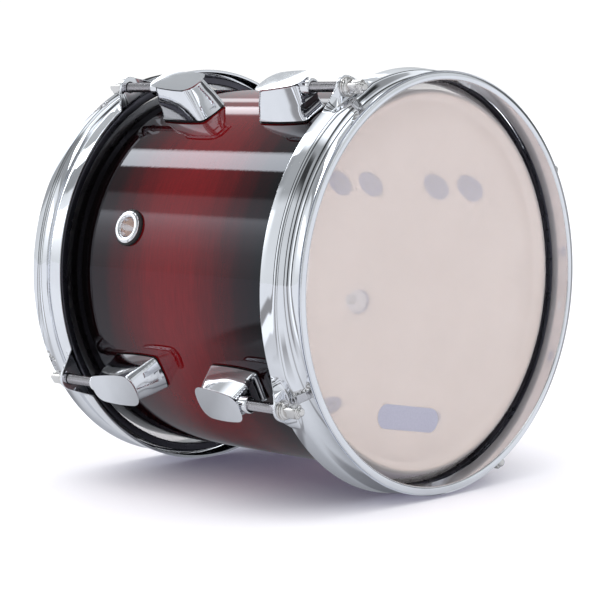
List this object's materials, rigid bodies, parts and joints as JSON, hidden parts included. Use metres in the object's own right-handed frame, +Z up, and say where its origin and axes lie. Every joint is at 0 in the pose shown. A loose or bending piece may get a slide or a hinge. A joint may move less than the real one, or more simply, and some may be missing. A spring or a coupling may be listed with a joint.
{
  "type": "tom-tom drum",
  "caption": "Small two-headed rack tom with a glossy burst-stained wooden shell, chromed lugs, tension rods and hoops, clear heads, a vent hole and a suspension clamp.",
  "frame": {"origin": "centre of the front head's outer face", "axes": "+Y along the drum's axis from the front head to the rear head, +X to the right seen from the front, +Z up; the drum lies on its side"},
  "size_m": [0.2737, 0.2019, 0.2228],
  "materials": {
    "lacquered_shell": "high-gloss lacquer over burst stain, black at both ends fading to deep red",
    "chrome_hoop": "polished chrome on pressed steel",
    "chrome_cast": "polished chrome on die-cast zinc",
    "chrome_plate": "chrome on bent steel plate",
    "chrome_trim": "chrome on small turned parts",
    "rod_steel": "nickel-plated rolled thread",
    "zinc_steel": "zinc-plated steel",
    "head_aluminium": "plain aluminium channel",
    "clear_film": "clear polyester film",
    "black_rubber": "matt black rubber",
    "shoe_brass": "machined brass"
  },
  "bodies": {
    "shell": {"shell": "lacquered_shell", "vent_grommet": "chrome_trim", "vent_gasket": "black_rubber", "front_lug_1": "chrome_cast", "front_lug_gasket_1": "black_rubber", "front_swivel_nut_1": "chrome_trim", "front_lug_2": "chrome_cast", "front_lug_gasket_2": "black_rubber", "front_swivel_nut_2": "chrome_trim", "front_lug_3": "chrome_cast", "front_lug_gasket_3": "black_rubber", "front_swivel_nut_3": "chrome_trim", "front_lug_4": "chrome_cast", "front_lug_gasket_4": "black_rubber", "front_swivel_nut_4": "chrome_trim", "front_lug_screws": "zinc_steel", "front_lug_screw_washers": "zinc_steel", "rear_lug_1": "chrome_cast", "rear_lug_gasket_1": "black_rubber", "rear_swivel_nut_1": "chrome_trim", "rear_lug_2": "chrome_cast", "rear_lug_gasket_2": "black_rubber", "rear_swivel_nut_2": "chrome_trim", "rear_lug_3": "chrome_cast", "rear_lug_gasket_3": "black_rubber", "rear_swivel_nut_3": "chrome_trim", "rear_lug_4": "chrome_cast", "rear_lug_gasket_4": "black_rubber", "rear_swivel_nut_4": "chrome_trim", "rear_lug_screws": "zinc_steel", "rear_lug_screw_washers": "zinc_steel", "mount_bracket": "chrome_plate", "mount_rod_bush_1": "black_rubber", "mount_rod_bush_2": "black_rubber", "mount_isolator": "black_rubber", "mount_bolt": "zinc_steel", "mount_bolt_washer": "zinc_steel", "mount_bolt_nut": "zinc_steel", "clamp_body": "chrome_cast", "clamp_screws": "zinc_steel", "clamp_nuts": "zinc_steel"},
    "front_rod_1": {"front_tension_rod_1": "rod_steel"},
    "front_rod_2": {"front_tension_rod_2": "rod_steel"},
    "front_rod_3": {"front_tension_rod_3": "rod_steel"},
    "front_rod_4": {"front_tension_rod_4": "rod_steel"},
    "front_head": {"front_hoop": "chrome_hoop", "front_head_film": "clear_film", "front_flesh_hoop": "head_aluminium", "front_rod_washers": "chrome_trim"},
    "rear_rod_1": {"rear_tension_rod_1": "rod_steel"},
    "rear_rod_2": {"rear_tension_rod_2": "rod_steel"},
    "rear_rod_3": {"rear_tension_rod_3": "rod_steel"},
    "rear_rod_4": {"rear_tension_rod_4": "rod_steel"},
    "rear_head": {"rear_hoop": "chrome_hoop", "rear_head_film": "clear_film", "rear_flesh_hoop": "head_aluminium", "rear_rod_washers": "chrome_trim"},
    "clamp_shoe": {"clamp_shoe": "shoe_brass"},
    "wing_bolt": {"clamp_wing_bolt": "chrome_cast"}
  },
  "joints": [
    {"name": "front_tuning", "type": "slide", "parent": "shell", "child": "front_head", "axis": [0, -1, 0], "range_m": [0, 0.02]},
    {"name": "front_rod_turn_1", "type": "hinge", "parent": "front_head", "child": "front_rod_1", "pos_m": [0.10111, 0.00425, 0.05604], "axis": [0, -1, 0], "range_deg": [0, 6804.1]},
    {"name": "front_rod_turn_2", "type": "hinge", "parent": "front_head", "child": "front_rod_2", "pos_m": [-0.05604, 0.00425, 0.10111], "axis": [0, -1, 0], "range_deg": [0, 6804.1]},
    {"name": "front_rod_turn_3", "type": "hinge", "parent": "front_head", "child": "front_rod_3", "pos_m": [-0.10111, 0.00425, -0.05604], "axis": [0, -1, 0], "range_deg": [0, 6804.1]},
    {"name": "front_rod_turn_4", "type": "hinge", "parent": "front_head", "child": "front_rod_4", "pos_m": [0.05604, 0.00425, -0.10111], "axis": [0, -1, 0], "range_deg": [0, 6804.1]},
    {"name": "rear_tuning", "type": "slide", "parent": "shell", "child": "rear_head", "axis": [0, 1, 0], "range_m": [0, 0.02]},
    {"name": "rear_rod_turn_1", "type": "hinge", "parent": "rear_head", "child": "rear_rod_1", "pos_m": [0.10111, 0.17425, 0.05604], "axis": [0, 1, 0], "range_deg": [0, 6804.1]},
    {"name": "rear_rod_turn_2", "type": "hinge", "parent": "rear_head", "child": "rear_rod_2", "pos_m": [-0.05604, 0.17425, 0.10111], "axis": [0, 1, 0], "range_deg": [0, 6804.1]},
    {"name": "rear_rod_turn_3", "type": "hinge", "parent": "rear_head", "child": "rear_rod_3", "pos_m": [-0.10111, 0.17425, -0.05604], "axis": [0, 1, 0], "range_deg": [0, 6804.1]},
    {"name": "rear_rod_turn_4", "type": "hinge", "parent": "rear_head", "child": "rear_rod_4", "pos_m": [0.05604, 0.17425, -0.10111], "axis": [0, 1, 0], "range_deg": [0, 6804.1]},
    {"name": "clamp_shoe_travel", "type": "slide", "parent": "shell", "child": "clamp_shoe", "axis": [-0.2756, 0, -0.9613], "range_m": [0, 0.003]},
    {"name": "wing_bolt_turn", "type": "hinge", "parent": "clamp_shoe", "child": "wing_bolt", "pos_m": [0.1365, 0.08125, -0.03914], "axis": [-0.2756, 0, -0.9613], "range_deg": [0, 865]}
  ],
  "couplings": [
    {"joint": "front_rod_turn_1", "follows": "front_tuning", "rad_per_m": 5936.9},
    {"joint": "front_rod_turn_2", "follows": "front_tuning", "rad_per_m": 5936.9},
    {"joint": "front_rod_turn_3", "follows": "front_tuning", "rad_per_m": 5936.9},
    {"joint": "front_rod_turn_4", "follows": "front_tuning", "rad_per_m": 5936.9},
    {"joint": "rear_rod_turn_1", "follows": "rear_tuning", "rad_per_m": 5936.9},
    {"joint": "rear_rod_turn_2", "follows": "rear_tuning", "rad_per_m": 5936.9},
    {"joint": "rear_rod_turn_3", "follows": "rear_tuning", "rad_per_m": 5936.9},
    {"joint": "rear_rod_turn_4", "follows": "rear_tuning", "rad_per_m": 5936.9},
    {"joint": "wing_bolt_turn", "follows": "clamp_shoe_travel", "rad_per_m": 5026.5}
  ]
}
